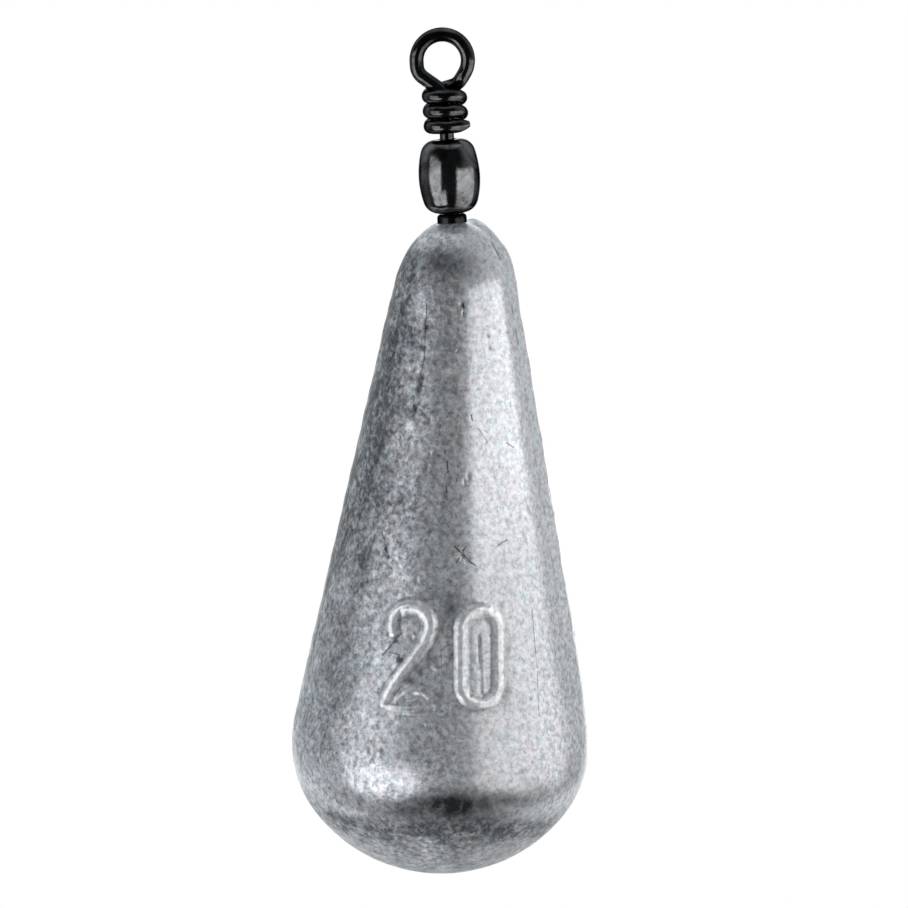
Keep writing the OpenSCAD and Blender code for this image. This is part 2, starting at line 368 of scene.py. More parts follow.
# Casting pits in pixels of the photograph: x, y, half width and half height in mm, share of the depth
PITS = [
    (426.5, 326, 0.12, 0.20, 1.0), (424.5, 347, 0.10, 0.16, 0.9), (421.5, 345.5, 0.14, 0.10, 0.8),
    (421.5, 377, 0.13, 0.26, 1.0), (420, 384, 0.14, 0.30, 1.0), (418.6, 390, 0.13, 0.22, 1.0),
    (402, 399, 0.10, 0.20, 0.7), (415.5, 408, 0.09, 0.22, 0.8), (386, 543, 0.14, 0.34, 1.0),
    (386, 555, 0.10, 0.20, 0.9), (461, 305, 0.13, 0.10, 0.7), (464, 312, 0.10, 0.16, 1.0),
    (462, 555, 0.14, 0.12, 0.8), (467, 561, 0.20, 0.08, 0.8), (510, 445, 0.12, 0.06, 0.5),
    (526, 505, 0.16, 0.07, 0.5), (502, 544, 0.14, 0.06, 0.4), (400, 658, 0.10, 0.20, 0.8),
    (397, 640, 0.16, 0.10, 0.5), (350, 655, 0.16, 0.14, 0.4), (352, 700, 0.10, 0.10, 0.4),
    (430, 420, 0.10, 0.14, 0.4), (404, 455, 0.10, 0.14, 0.4), (395, 486, 0.10, 0.12, 0.4),
]

# How deep into the lead the mask of a pit, and of a smudge, painted shade or painted highlight, reaches, in mm
PIT_REACH, PATCH_REACH = 0.5, 3.0

# Small pits strewn over the whole skin: ranges of their place as a share of the height, of their half width in
# mm and of their share of the depth; how much taller than wide they are, and how far up and down they reach
STREWN_PITS, STREWN_SEED = 260, 20
STREWN_HEIGHTS, STREWN_HALVES, STREWN_DEPTHS = (0.03, 0.93), (0.07, 0.16), (0.15, 0.5)
STREWN_STRETCH, STREWN_BAND = 1.3, 0.5

# Scratches in pixels of the photograph, cut into the mesh: from, to, half width in mm, share of the depth
SCRATCHES = [
    ((430, 735), (450, 780), 0.09, 0.18), ((478.5, 636), (481, 692), 0.09, 0.6),
    ((430, 668), (437, 674), 0.09, 0.4),
]
SCRATCH_POINTS = 7

# Fine marks in pixels of the photograph, drawn by the material: from, to, half width in mm, strength
MARKS = [
    ((427, 303), (424.5, 358), 0.06, 0.7), ((424.5, 358), (421, 374), 0.05, 0.7),
    ((419, 408), (429, 420), 0.06, 0.6), ((454, 546), (471, 563), 0.07, 0.95),
    ((456, 563), (466, 546), 0.06, 0.9), ((460, 556), (476, 566), 0.06, 0.8),
    ((384, 538), (386, 549), 0.13, 1.0), ((385, 548), (388, 557), 0.16, 1.0),
    ((380, 528), (384, 538), 0.05, 0.6), ((471, 415), (472, 420), 0.07, 0.8),
    ((478, 428), (488, 443), 0.05, 0.5), ((507, 443), (514, 448), 0.07, 0.6),
    ((499, 545), (507, 540), 0.09, 0.6), ((524, 497), (530, 512), 0.05, 0.55),
    ((447, 460), (448, 472), 0.06, 0.85), ((446, 486), (447, 493), 0.07, 0.8),
    ((383, 655), (402, 633), 0.09, 0.7), ((390, 652), (404, 656), 0.07, 0.7),
    ((441, 650), (442, 673), 0.06, 0.5), ((532, 612), (537, 668), 0.06, 0.55),
    ((537, 672), (539, 716), 0.06, 0.45), ((463, 304), (464, 312), 0.11, 0.95),
]

# Soft dark patches in pixels of the photograph, mostly painted shade: the band under the belly, a patch on the
# nose, and beside and under the number's strokes; the rest are smudges and dark lines along the left edge.
# x, y, half width and half height in mm, strength
SMUDGES_AND_SHADE = [
    (450, 806, 3.1, 1.0, 1.1), (412, 811, 2.2, 0.8, 0.7), (505, 800, 2.3, 0.6, 0.55),
    (345, 800, 1.6, 0.9, 0.35), (540, 790, 1.2, 0.5, 0.4), (445, 262, 1.6, 0.9, 0.6),
    (385, 815, 1.6, 0.6, 0.3), (408, 620, 0.8, 0.5, 0.4), (396, 639, 0.45, 0.4, 0.6),
    (409, 681, 0.45, 0.35, 0.7), (416, 668, 0.25, 0.5, 0.55), (402, 660, 0.25, 0.3, 0.8),
    (452, 607, 0.8, 0.8, 0.5), (506, 693, 0.3, 0.8, 0.6), (507, 655, 0.25, 1.4, 0.35),
    (430, 600, 0.5, 0.25, 0.3), (345, 690, 1.2, 1.0, 0.25), (401, 710.5, 0.6, 0.2, 0.65),
    (414, 711.5, 0.7, 0.2, 0.7), (427, 710.5, 0.6, 0.2, 0.6), (428, 655, 0.2, 0.8, 0.5),
    (420, 672, 0.25, 0.4, 0.5), (388, 331, 0.22, 0.6, 0.8), (377, 374, 0.2, 0.4, 0.7),
    (371, 399, 0.2, 0.35, 0.75), (364.5, 428, 0.22, 0.6, 0.8),
]

# Painted highlights: small glints and bright spots, in the polished colour: x, y, half width and half height
# in mm, strength
PAINTED_HIGHLIGHTS = [
    (410, 427, 0.22, 0.28, 0.8), (452, 237, 1.2, 0.3, 0.4), (383.5, 703, 0.3, 0.35, 0.7),
    (394.5, 665.7, 0.16, 0.12, 0.9), (434, 669, 0.2, 0.1, 0.7), (442, 662, 0.07, 0.7, 0.6),
    (459, 330, 0.3, 0.2, 0.5), (458.5, 360, 0.18, 0.3, 0.5), (448, 372, 0.3, 0.3, 0.35),
]


def numeral_strokes():
    """Centrelines of the number's strokes, in pixels, with each one's half width and share of the relief."""

    def picture_arc(centre, *values):
        return [(x, -y) for x, y in arc((centre[0], -centre[1]), *values)]

    x, y = ZERO_CENTRE
    zero = picture_arc((x, y - ZERO_STRAIGHT), ZERO_HALF, 180, 0, ZERO_STEPS)
    zero += picture_arc((x, y + ZERO_STRAIGHT), ZERO_HALF, 0, -180, ZERO_STEPS)
    two = picture_arc(HOOK_CENTRE, HOOK_R, HOOK_START, HOOK_END, HOOK_STEPS) + DIAGONAL
    return [(zero + zero[:1], *ZERO_STROKE), (two, *TWO_STROKE), (FOOT, *FOOT_STROKE), (LENS, *LENS_STROKE)]


def distance_to_path(points, path):
    """Least distance from each point to a polyline."""
    best = np.full(len(points), np.inf)
    for a, b in zip(path[:-1], path[1:]):
        ab = b - a
        t = np.clip((points - a) @ ab / (ab @ ab), 0, 1)
        best = np.minimum(best, np.linalg.norm(points - a - t[:, None] * ab, axis=1))
    return best


# ---------------------------------------------------------------- lead body: masks

# The mould's seams, in degrees from the front, right positive. They fade out between these heights above the
# belly and these distances from the axis at the tip, all in mm, and they are broken along their length
RIGHT_SEAM, LEFT_SEAM = 70, -79
SEAM_FADE_HEIGHTS, SEAM_FADE_REACH = (8, 15), (0.5, 1.3)
SEAM_BREAKS, BREAK_EDGES = (0.5, 0.5, (2.3, 0.7), (1.1, 0)), (0.45, 0.75)

# The back mould half stands out past the right seam. Its step rises over these mm past the seam, runs out
# between these turns, and is a share of the full step up to the nose and all of it at the nose
STEP_RISE, STEP_BACK, STEP_SHARE, STEP_NOSE = (-0.05, 1.3), (110, 165), 0.6, (38, 41.5)
STEP_WAVE = (0.88, 0.12, (1.9, 0), (0.77, 1))

# The thin flash up the left edge: share of the step, half width in mm, and the turn past which it lies
FLASH_SHARE, FLASH_HALF, FLASH_TURN = 0.13, 0.16, -60

# The dark line along each seam: half width in mm and strength. The right one is faint up to these heights
RIGHT_LINE, LEFT_LINE = (0.08, 1.0), (0.3, 1.3)
LINE_FAINT, LINE_CLEAR = 0.35, (33, 38)

# Heights in mm where the belly ends, and of the bottom and the tip, which have been rubbed clean
BELLY_FALL, RUBBED_LOW, RUBBED_HIGH = (12, 24), (6.5, 10.5), (40.5, 42)

# Dulled stretches: strength, the turns where each rises and falls, and the heights where it rises and falls
DULL_STRETCHES = [
    (0.4, None, (2, 16), None, None),  # left half of the front
    (0.4, (100, 170), None, None, None),  # back
    (0.25, (-130, -80), (-55, -40), (21, 27), None),  # left flank of the cone
    (0.25, (-130, -75), (-75, -55), None, None),  # left edge
    (0.35, (-130, -75), (-75, -55), BELLY_FALL, None),  # left edge of the cone
    (0.24, (35, 60), (100, 170), None, BELLY_FALL),  # right of the belly
    (0.4, (84, 100), (100, 170), None, None),  # behind the right edge
]

# One more on the belly's left, which the number's rubbed crests leave as it is
BELLY_LEFT = (0.12, (-130, -75), (-58, -44), None, BELLY_FALL)

# Dull streaks up the front: strength, turn, half width in degrees, and the heights where each rises
DULL_STREAKS = [(0.42, -47, 19, None), (0.14, -24, 13, (20, 26))]

# The number's crests are rubbed: the shares of the relief where that starts and is full, and what it takes
# off the oxide and the smudges and painted shade; likewise where they are polished, and how far
CREST, CREST_OXIDE, CREST_SMUDGE_AND_SHADE = (0.25, 0.7), 0.95, 0.7
POLISHED_CREST, POLISH = (0.35, 0.85), 0.7

# What rubbing takes off the oxide of the belly and of the bottom and tip, and how grainy the skin is at most
BELLY_CLEAN, RUBBED_CLEAN, GRAINY_MOST = 0.25, 0.85, 0.5

# The painted shade under the belly, a dark band: its strength at the bottom, and what it gains between these
# heights in mm; its upper edge in mm, how far and how often that waves round the lead and where, and how soft
# it is
BAND_STRENGTH, BAND_GAIN, BAND_HEIGHTS = 0.6, 0.32, (2.8, 4.2)
BAND_EDGE, BAND_WAVE, BAND_WAVES, BAND_PHASE, BAND_SOFT = 5.3, 0.4, 4, 1, 0.7

# Between these turns to either side the band gets weaker by a share, and softer by mm
BAND_SIDES, BAND_SIDE_LOSS, BAND_SIDE_SOFT = (45, 100), 0.6, 1.8

# Steps in which the weights of a vertex group are set
MASK_LEVELS = 500


class LeadSkin:
    """The lead's points: height and reach from the axis in mm, and turn from the front in degrees."""

    def __init__(self, obj, studio):
        co = np.empty(len(obj.data.vertices) * 3)
        obj.data.vertices.foreach_get("co", co)
        self.obj, self.studio = obj, studio
        self.co = co.reshape(-1, 3)
        self.front = self.co[:, 1] < 0
        self.height = (self.co[:, 2] - LEAD_LOW.z) / MM
        self.turn = np.degrees(np.arctan2(self.co[:, 0] - LEAD_X, -self.co[:, 1]))
        self.reach = np.hypot(self.co[:, 0] - LEAD_X, self.co[:, 1]) / MM

    def blank(self):
        return np.zeros(len(self.co))

    def path(self, pixels):
        """Where pixels of the photograph lie on the skin."""
        return np.array([lead_point(x, y, self.studio, self.obj) for x, y in pixels])

    def spots(self, places, depth):
        """Soft spots at pixels of the photograph, which reach to a depth in mm."""
        total = self.blank()
        for x, y, half_w, half_h, strength in places:
            away = (self.co - self.path([(x, y)])) / (np.array([half_w, depth, half_h]) * MM)
            total = np.maximum(total, strength * np.exp(-(away**2).sum(1)))
        return total

    def stretch(self, strength, turn_rise, turn_fall, height_rise, height_fall):
        """One stretch of the skin, between turns and heights."""
        along = within(self.height, height_rise, height_fall)
        return strength * within(self.turn, turn_rise, turn_fall) * along


def numeral_masks(skin):
    """The number's rounded ridges, and the crease along the foot of each."""
    ridges, creases = skin.blank(), skin.blank()
    near = skin.front & (skin.height > NUMERAL_LOW - NUMERAL_MARGIN)
    near &= skin.height < NUMERAL_HIGH + NUMERAL_MARGIN
    for pixels, half, share in numeral_strokes():
        away = distance_to_path(skin.co[near], skin.path(pixels)) / MM
        ridge = share * (1 - np.minimum(away / half, 1) ** 2) ** RIDGE_POWER
        ridges[near] = np.maximum(ridges[near], ridge)
        creases[near] = np.maximum(creases[near], bell(away, half, CREASE_HALF))
    return ridges, creases * (1 - smoothstep(*CREASE_END, ridges))


def strewn_pits(skin):
    """Small pits at random over the whole skin."""
    pits = skin.blank()
    draw = np.random.RandomState(STREWN_SEED)
    for _ in range(STREWN_PITS):
        turn, up = draw.uniform(-math.pi, math.pi), draw.uniform(*STREWN_HEIGHTS)
        half, share = draw.uniform(*STREWN_HALVES), draw.uniform(*STREWN_DEPTHS)
        height = LEAD_LOW.z + up * LEAD_H
        band = np.abs(skin.co[:, 2] - height) < STREWN_BAND * MM
        radius = skin.reach[band].mean() * MM
        place = np.array([LEAD_X + radius * math.sin(turn), -radius * math.cos(turn), height])
        away = (skin.co[band] - place) / (half * MM * np.array([1, 1, STREWN_STRETCH]))
        pits[band] = np.maximum(pits[band], share * np.exp(-(away**2).sum(1)))
    return pits


def scratch_mask(skin):
    """Grooves along the scratches."""
    grooves = skin.blank()
    steps = np.linspace(0, 1, SCRATCH_POINTS)[:, None]
    for start, end, half, share in SCRATCHES:
        path = skin.path(np.array(start) * (1 - steps) + np.array(end) * steps)
        away = distance_to_path(skin.co[skin.front], path) / MM
        grooves[skin.front] = np.maximum(grooves[skin.front], share * bell(away, 0, half))
    return grooves


def seam_masks(skin):
    """How far the back mould half and the left flash stand out, and the broken dark line along each seam."""
    fade = smoothstep(*SEAM_FADE_HEIGHTS, skin.height) * smoothstep(*SEAM_FADE_REACH, skin.reach)
    broken = ripple(skin.height, *SEAM_BREAKS)
    past_right, past_left = (np.radians(skin.turn - seam) * skin.reach for seam in (RIGHT_SEAM, LEFT_SEAM))
    step = STEP_SHARE + (1 - STEP_SHARE) * smoothstep(*STEP_NOSE, skin.height)
    step *= fade * ripple(skin.height, *STEP_WAVE) * smoothstep(*STEP_RISE, past_right)
    step *= within(skin.turn, fall=STEP_BACK)
    flash = FLASH_SHARE * fade * bell(skin.co[:, 1] / MM, 0, FLASH_HALF) * (skin.turn < FLASH_TURN) * broken
    lines = [strength * bell(past, 0, half)
             for past, (half, strength) in ((past_right, RIGHT_LINE), (past_left, LEFT_LINE))]
    clear = LINE_FAINT + (1 - LINE_FAINT) * smoothstep(*LINE_CLEAR, skin.height)
    clear = np.maximum(clear, 1.0 * (skin.turn < 0))
    return np.maximum(step, flash), np.maximum(*lines) * fade * smoothstep(*BREAK_EDGES, broken) * clear


def oxide_and_shade_masks(skin, ridges):
    """Where the skin has dulled, and where that still shows once belly, nose and number were rubbed clean,
    with the painted shade under the belly laid in.
    """
    dull = sum(skin.stretch(*values) for values in DULL_STRETCHES)
    for strength, turn, half, rise in DULL_STREAKS:
        dull += strength * bell(skin.turn, turn, half) * within(skin.height, rise)
    dull *= 1 - CREST_OXIDE * smoothstep(*CREST, ridges)
    dull += skin.stretch(*BELLY_LEFT)
    rubbed = np.maximum(within(skin.height, fall=RUBBED_LOW), within(skin.height, RUBBED_HIGH))
    weather_and_shade = dull * (1 - BELLY_CLEAN * within(skin.height, fall=BELLY_FALL)) * (1 - RUBBED_CLEAN * rubbed)

    # Painted shade: a dark band under the belly, laid into the same mask as the oxide
    aside = smoothstep(*BAND_SIDES, np.abs(skin.turn))
    band = BAND_STRENGTH + BAND_GAIN * smoothstep(*BAND_HEIGHTS, skin.height)
    band *= 1 - BAND_SIDE_LOSS * aside
    edge = BAND_EDGE + BAND_WAVE * np.sin(np.radians(BAND_WAVES * skin.turn) + BAND_PHASE)
    soft = BAND_SOFT + BAND_SIDE_SOFT * aside
    return dull, np.maximum(weather_and_shade, band * (1 - smoothstep(edge - soft, edge + soft, skin.height)))


def paint(obj, name, values):
    """Keeps a mask on the mesh as an attribute, for the material."""
    attribute = obj.data.attributes.new(name, "FLOAT", "POINT")
    attribute.data.foreach_set("value", np.clip(values, 0, 1).astype(np.float32))


def group(obj, name, values):
    """Keeps a mask on the mesh as a vertex group, for a modifier."""
    made = obj.vertex_groups.new(name=name)
    levels = np.round(np.clip(values, 0, 1) * MASK_LEVELS).astype(int)
    for level in np.unique(levels[levels > 0]):
        made.add(np.flatnonzero(levels == level).tolist(), float(level / MASK_LEVELS), "REPLACE")


def paint_lead(obj, studio):
    """Works out where the number, seams, pits, scratches and oxide lie and keeps their masks."""
    skin = LeadSkin(obj, studio)
    ridges, creases = numeral_masks(skin)
    pits = np.maximum(skin.spots(PITS, PIT_REACH), strewn_pits(skin))
    seam_step, seam_groove = seam_masks(skin)
    dull, weather_and_shade = oxide_and_shade_masks(skin, ridges)
    # Painted highlights, which also clear the oxide where they lie
    painted_highlights = skin.spots(PAINTED_HIGHLIGHTS, PATCH_REACH)
    crest = smoothstep(*CREST, ridges)
    for name, values in (
        # Painted shade along the foot of the number's strokes
        ("crease", creases),
        ("pits", pits),
        ("seam_groove", seam_groove),
        # Oxide, with the painted shade under the belly laid in
        ("weather_and_shade", weather_and_shade * (1 - painted_highlights)),
        # Smudges, and painted shade under the belly, on the nose and beside the number's strokes
        ("smudge_and_shade", skin.spots(SMUDGES_AND_SHADE, PATCH_REACH) * (1 - CREST_SMUDGE_AND_SHADE * crest)),
        # Polish on the number's crests, and the painted highlights
        ("polish_and_highlights", np.maximum(POLISH * smoothstep(*POLISHED_CREST, ridges), painted_highlights)),
        ("grainy", np.minimum(dull, GRAINY_MOST)),
    ):
        paint(obj, name, values)
    for name, values in (
        ("numeral", ridges),
        ("pits", pits),
        ("scratches", scratch_mask(skin)),
        ("seam_step", seam_step),
        ("seam_groove", seam_groove),
    ):
        group(obj, name, values)


# Unevenness of the cast skin: size of the waves and share of the skin's relief, long and short
LONG_WAVES, SHORT_WAVES = (3.2 * MM, 1.6), (0.6 * MM, 0.5)
SEAM_DEPTH = 0.05 * MM


class SINKER_OT_lead_body(bpy.types.Operator):
    """Casts the lead: the outline spun round, then the number, seams, pits and scratches"""

    bl_idname = "sinker.lead_body"
    bl_label = "Lead body"

    def execute(self, context):
        sizes, studio = context.scene.sinker_sizes, context.scene.sinker_studio
        rows = lead_rows(lead_outline(sizes))
        obj = line("lead_body", [(LEAD_X, r, LEAD_LOW.z + h) for r, h in rows])
        spin(obj, [(-math.radians(a), n) for a, n in LEAD_SECTORS], (LEAD_X, 0, 0))
        paint_lead(obj, studio)
        marks = [
            (lead_point(*start, studio, obj), lead_point(*end, studio, obj), half, strength)
            for start, end, half, strength in MARKS
        ]
        for name, (size, share) in (("cast waves", LONG_WAVES), ("cast skin", SHORT_WAVES)):
            roughen(obj, name, size, sizes.skin_relief * share)
        for mask, strength in (
            ("numeral", sizes.numeral_relief),
            ("seam_step", sizes.seam_step),
            ("seam_groove", -SEAM_DEPTH),
            ("pits", -sizes.pit_depth),
            ("scratches", -sizes.pit_depth),
        ):
            apply(obj, "DISPLACE", vertex_group=mask, strength=strength, mid_level=0)
        finish_piece(obj, "sinker", "sinker_body", lead_material(marks))
        return {"FINISHED"}


# ---------------------------------------------------------------- swivel

# Sizes as in the part's source, but the collar's edge is rounder here, and the barrel and the wire's turns
# are raised to where the photograph shows them
WIRE_TURNS, WRAP_GAP, WRAP_BORE_GAP = 3, 0.05 * MM, 0.09 * MM
WIRE_END, SHANK_GAP = 1.3 * MM, 0.25 * MM
TURNS_RAISED, BARREL_RAISED = 0.3 * MM, 0.13 * MM
BARREL_H, BARREL_R = 4.8 * MM, 2.0 * MM
BARREL_SIDE_R, BARREL_END_R = 6.1 * MM, 1.0 * MM
BARREL_WALL, BARREL_END_WALL = 0.42 * MM, 0.5 * MM
HEAD_H, HEAD_EDGE = 0.85 * MM, 0.3 * MM
COLLAR_R, COLLAR_H, COLLAR_EDGE = 0.965 * MM, 1.5 * MM, 0.25 * MM
STEM_L, ANCHOR_HOLE = 1.1 * MM, 2.4 * MM
MOUTH_GAP, HEAD_GAP, SEAT_GAP = 0.05 * MM, 0.1 * MM, 0.06 * MM

# The line eye's route: shares of the ring's radius, and angles in degrees
LEG_CORNER_SHARE, LEG_END_SHARE = 0.45, 1.25
BEND_SHARE, PULL_SHARE = 0.3, 0.54
RING_START, RING_END = 180, -33
TURN_START, TURN_END = 90, 285 + 360 * (WIRE_TURNS - 1)
DROP_FROM, DROP_SPAN = -50, 235
SHANK_POINTS, BEND_STEPS, RING_POINTS, LINK_STEPS, TURN_POINTS = 12, 10, 61, 20, 184

# The cut end: the share of its length where its points start, how far it lifts, and how its last points thin
END_FROM, END_LIFT, END_POINTS = 0.1, 0.05, 12
CUT_END = (1, 0.99, 0.97, 0.93, 0.88, 0.81, 0.73, 0.64, 0.53, 0.4)

# The barrel's mouths are rolled over a lip, and its side has shallow waves from rolling
LIP, LIP_ROLL = 0.08 * MM, 0.3
ROLL_WAVES, ROLL_RELIEF = 1.9 * MM, 0.02 * MM

# Steps of the arcs, and of a turn round each piece
END_STEPS, SIDE_STEPS, HOLLOW_STEPS, EDGE_STEPS = 20, 30, 16, 8
WIRE_SIDES, HEAD_STEPS, BARREL_STEPS, PIN_STEPS = 28, 64, 128, 96


def swivel_measures(sizes):
    """Radii, and heights on the swivel's own axis, worked out as in the part's source."""
    wire = sizes.wire
    eye_r = (sizes.eye_hole + wire) / 2
    wrap_r, pitch = wire + WRAP_BORE_GAP, wire + WRAP_GAP
    corner_z, end_z = -LEG_CORNER_SHARE * eye_r, -LEG_END_SHARE * eye_r
    leg_a = math.atan2(corner_z - end_z, eye_r)
    over = corner_z - (eye_r - wrap_r) * math.tan(leg_a)
    first = over - (pitch + WRAP_GAP) / math.cos(leg_a)
    top = first - (WIRE_TURNS - 1) * pitch - wire / 2 - SHANK_GAP
    side_x = BARREL_R - BARREL_SIDE_R
    inner_r = BARREL_SIDE_R - BARREL_WALL
    inner_half = BARREL_H / 2 - BARREL_END_WALL
    return SimpleNamespace(
        wire_r=wire / 2, eye_r=eye_r, wrap_r=wrap_r, pitch=pitch, corner_z=corner_z, end_z=end_z, first=first,
        top=top, low=top - BARREL_H, mid=top - BARREL_H / 2, side_x=side_x, inner_r=inner_r,
        inner_half=inner_half, head_r=side_x + math.sqrt(inner_r**2 - inner_half**2) - HEAD_GAP)


def unit(v):
    return v / np.linalg.norm(v)


def bezier(points, steps):
    """Points of a quadratic or cubic bend, ends included."""
    t = np.linspace(0, 1, steps + 1)[:, None]
    s = 1 - t
    p = [np.array(x, float) for x in points]
    if len(p) == 3:
        return s**2 * p[0] + 2 * s * t * p[1] + t**2 * p[2]
    return s**3 * p[0] + 3 * s * s * t * p[1] + 3 * s * t * t * p[2] + t**3 * p[3]


def line_eye_path(m):
    """The wire's centreline: up from its head, out into the ring, back and round its own shank."""
    corner, end = np.array([-m.eye_r, 0, m.corner_z]), np.array([0, 0, m.end_z])
    bend, pull = BEND_SHARE * m.eye_r, PULL_SHARE * m.eye_r
    leg, up = unit(end - corner), np.array([0, 0, 1.0])

    def ring(a):
        a = math.radians(a)
        return m.eye_r * np.array([math.cos(a), 0, math.sin(a)])

    def turn(a):
        turns, part = divmod(a - DROP_FROM, 360)
        drop = turns + min(part / DROP_SPAN, 1)
        height = m.first + TURNS_RAISED + m.pitch * (1 - drop)
        return np.array([m.wrap_r * math.cos(math.radians(a)), m.wrap_r * math.sin(math.radians(a)), height])

    ring_a, end_a = math.radians(RING_END), math.radians(TURN_END)
    ring_u = np.array([math.sin(ring_a), 0, -math.cos(ring_a)])
    turn_u = unit(turn(TURN_START) - turn(TURN_START - 1))
    end_u = np.array([-math.sin(end_a), math.cos(end_a), 0])
    start = m.top - BARREL_END_WALL - SEAT_GAP - HEAD_H / 2
    leave, meet = ring(RING_END), turn(TURN_START)
    link = [leave, leave + pull * ring_u, meet - pull * turn_u, meet]
    path = [[0, 0, z] for z in np.linspace(start, m.end_z - bend, SHANK_POINTS)[:-1]]
    path += list(bezier([end - bend * up, end, end - bend * leg], BEND_STEPS))
    path += list(bezier([corner + bend * leg, corner, corner + bend * up], BEND_STEPS))
    path += [ring(a) for a in np.linspace(RING_START, RING_END, RING_POINTS)]
    path += list(bezier(link, LINK_STEPS))[1:-1]
    path += [turn(a) for a in np.linspace(TURN_START, TURN_END, TURN_POINTS)]
    path += [turn(TURN_END) + WIRE_END * (s * end_u + END_LIFT * s * s * up)
             for s in np.linspace(END_FROM, 1, END_POINTS)]
    return path


def disc_outline(radius, low, height, edge, inner=0.0):
    """Half section of a round disc with rounded edges, from the axis out and back."""
    top = low + height
    return (
        [(inner, low)]
        + arc((radius - edge, low + edge), edge, -90, 0, EDGE_STEPS)
        + arc((radius - edge, top - edge), edge, 0, 90, EDGE_STEPS)
        + [(inner, top)]
    )


def turned(name, outline, steps, cyclic=False):
    """A turned solid round the swivel's own axis, still upright."""
    obj = line(name, [(r, 0, z) for r, z in outline], cyclic=cyclic)
    return spin(obj, [(2 * math.pi, steps)], (0, 0, 0))


def lean(obj):
    """Leans a piece with the swivel, into its mesh."""
    only(obj)
    obj.rotation_euler = (0, -LEAN, 0)
    bpy.ops.object.transform_apply(location=True, rotation=True, scale=True)


def fuse(obj, other):
    """Unites another solid into the first one."""
    apply(obj, "BOOLEAN", operation="UNION", object=other, solver="EXACT")
    bpy.data.objects.remove(other)


class SINKER_OT_line_eye(bpy.types.Operator):
    """Bends the line eye: one wire with its head, ring, turns and cut end"""

    bl_idname = "sinker.line_eye"
    bl_label = "Line eye"

    def execute(self, context):
        m = swivel_measures(context.scene.sinker_sizes)
        obj = line("line_eye_wire", line_eye_path(m), bevel=m.wire_r, sides=WIRE_SIDES, taper=CUT_END)
        head_low = m.top - BARREL_END_WALL - SEAT_GAP - HEAD_H
        fuse(obj, turned("head", disc_outline(m.head_r, head_low, HEAD_H, HEAD_EDGE), HEAD_STEPS))
        lean(obj)
        plating = plating_material("wire plating", roughness=0.12, shine=0.085)
        finish_piece(obj, "line_eye", "line_eye", plating)
        return {"FINISHED"}


class SINKER_OT_swivel_barrel(bpy.types.Operator):
    """Rolls the hollow barrel with its bowed side and its two mouths"""

    bl_idname = "sinker.swivel_barrel"
    bl_label = "Swivel barrel"

    def execute(self, context):
        m = swivel_measures(context.scene.sinker_sizes)
        half, mouth = BARREL_H / 2, m.wire_r + MOUTH_GAP
        end_z = half - BARREL_END_R
        end_x = m.side_x + math.sqrt((BARREL_SIDE_R - BARREL_END_R) ** 2 - end_z**2)
        roll = math.degrees(math.atan2(end_z, end_x - m.side_x))
        inner = math.degrees(math.asin(m.inner_half / m.inner_r))
        lip = [(mouth, half - LIP), (mouth + LIP * LIP_ROLL, half - LIP * LIP_ROLL), (mouth + LIP, half)]
        outer = [(r, -z) for r, z in lip]
        outer += arc((end_x, -end_z), BARREL_END_R, -90, -roll, END_STEPS)
        outer += arc((m.side_x, 0), BARREL_SIDE_R, -roll, roll, SIDE_STEPS)[1:-1]
        outer += arc((end_x, end_z), BARREL_END_R, roll, 90, END_STEPS)
        outer += lip[::-1]
        hollow = [(mouth, m.inner_half)]
        hollow += arc((m.side_x, 0), m.inner_r, inner, -inner, HOLLOW_STEPS)
        hollow += [(mouth, -m.inner_half)]
        outline = [(r, z + BARREL_RAISED) for r, z in outer] + hollow
        outline = [(r, m.mid + z) for r, z in outline]
        obj = turned("swivel_barrel_shell", outline, BARREL_STEPS, cyclic=True)
        roughen(obj, "rolled waves", ROLL_WAVES, ROLL_RELIEF, depth=1)
        lean(obj)
        plating = plating_material("barrel plating", roughness=0.1, shine=0.15)
        finish_piece(obj, "barrel", "swivel_barrel", plating)
        return {"FINISHED"}


class SINKER_OT_cast_in_eye(bpy.types.Operator):
    """Turns the cast-in eye with its head, shank and collar, and the ring that the lead holds"""

    bl_idname = "sinker.cast_in_eye"
    bl_label = "Cast-in eye"

    def execute(self, context):
        sizes = context.scene.sinker_sizes
        m = swivel_measures(sizes)
        head_low = m.low + BARREL_END_WALL + SEAT_GAP
        stem_top = m.low - SEAT_GAP - COLLAR_H
        anchor_r = (ANCHOR_HOLE + sizes.wire) / 2
        anchor_z = stem_top - STEM_L - anchor_r
        outline = [(0, anchor_z + anchor_r), (m.wire_r, anchor_z + anchor_r)]
        outline += disc_outline(COLLAR_R, stem_top, COLLAR_H + BARREL_RAISED, COLLAR_EDGE, m.wire_r)
        outline += disc_outline(m.head_r, head_low, HEAD_H, HEAD_EDGE, m.wire_r)[:-1]
        outline += [(0, head_low + HEAD_H)]
        obj = turned("cast_in_eye_pin", outline, PIN_STEPS)
        bpy.ops.mesh.primitive_torus_add(
            major_segments=64, minor_segments=24, major_radius=anchor_r, minor_radius=m.wire_r,
            location=(0, 0, anchor_z), rotation=(math.pi / 2, 0, 0))
        ring = only(bpy.context.object)
        bpy.ops.object.transform_apply(location=True, rotation=True, scale=True)
        fuse(obj, ring)
        lean(obj)
        plating = plating_material("pin plating", roughness=0.2, shine=0.025)
        finish_piece(obj, "sinker", "cast_in_eye", plating)
        return {"FINISHED"}


# ---------------------------------------------------------------- nodes


def feed(tree, socket, value):
    """Feeds a socket from another one, or with a plain value."""
    if isinstance(value, bpy.types.NodeSocket):
        tree.links.new(value, socket)
    else:
        socket.default_value = value


